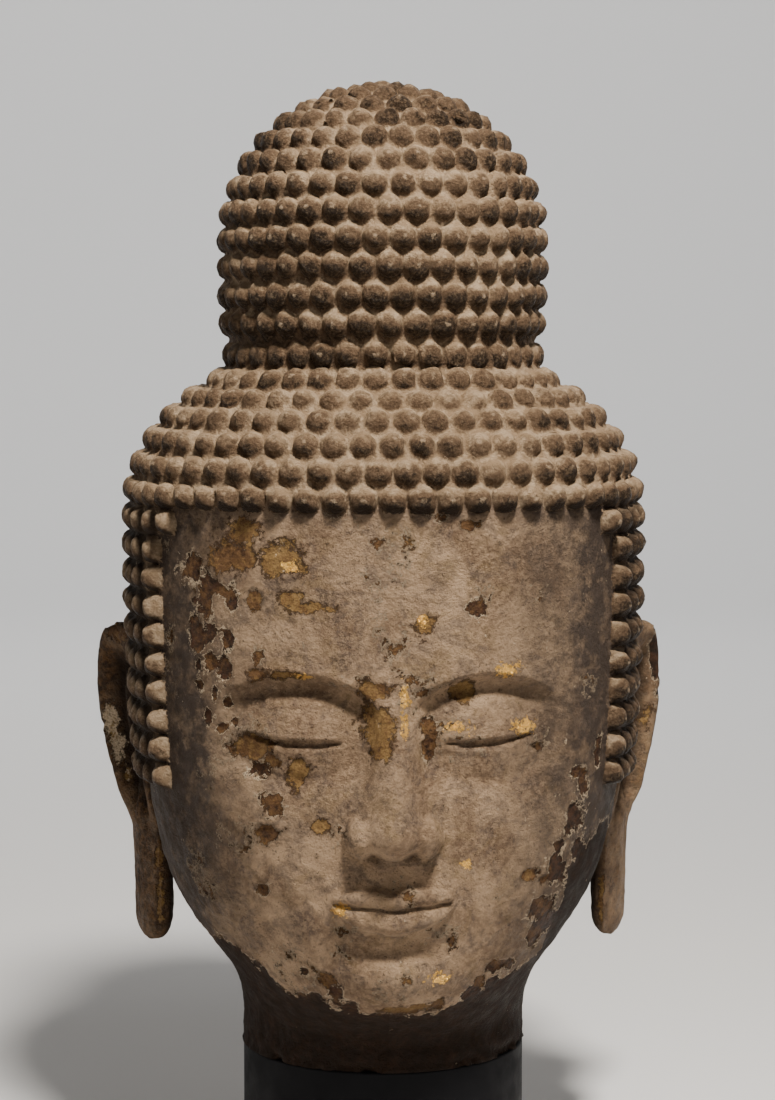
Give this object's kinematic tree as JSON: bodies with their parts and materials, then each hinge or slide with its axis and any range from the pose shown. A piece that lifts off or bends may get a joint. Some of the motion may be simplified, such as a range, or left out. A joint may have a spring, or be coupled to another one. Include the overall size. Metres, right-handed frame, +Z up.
{
  "type": "stone buddha head",
  "caption": "Carved stone Buddha head with a tall topknot of snail curls, long ears and a flat neck cut, standing on a low round post.",
  "frame": {"origin": "centre of the post's underside, on the surface that the part stands on", "axes": "+Z up along the head, -Y the way the face looks, +X to a viewer's right when they face it"},
  "size_m": [0.3316, 0.3034, 0.62],
  "materials": {
    "stone": "matt, weathered",
    "post": "satin"
  },
  "bodies": {
    "root": {"head": "stone", "display_post": "post"}
  },
  "joints": []
}
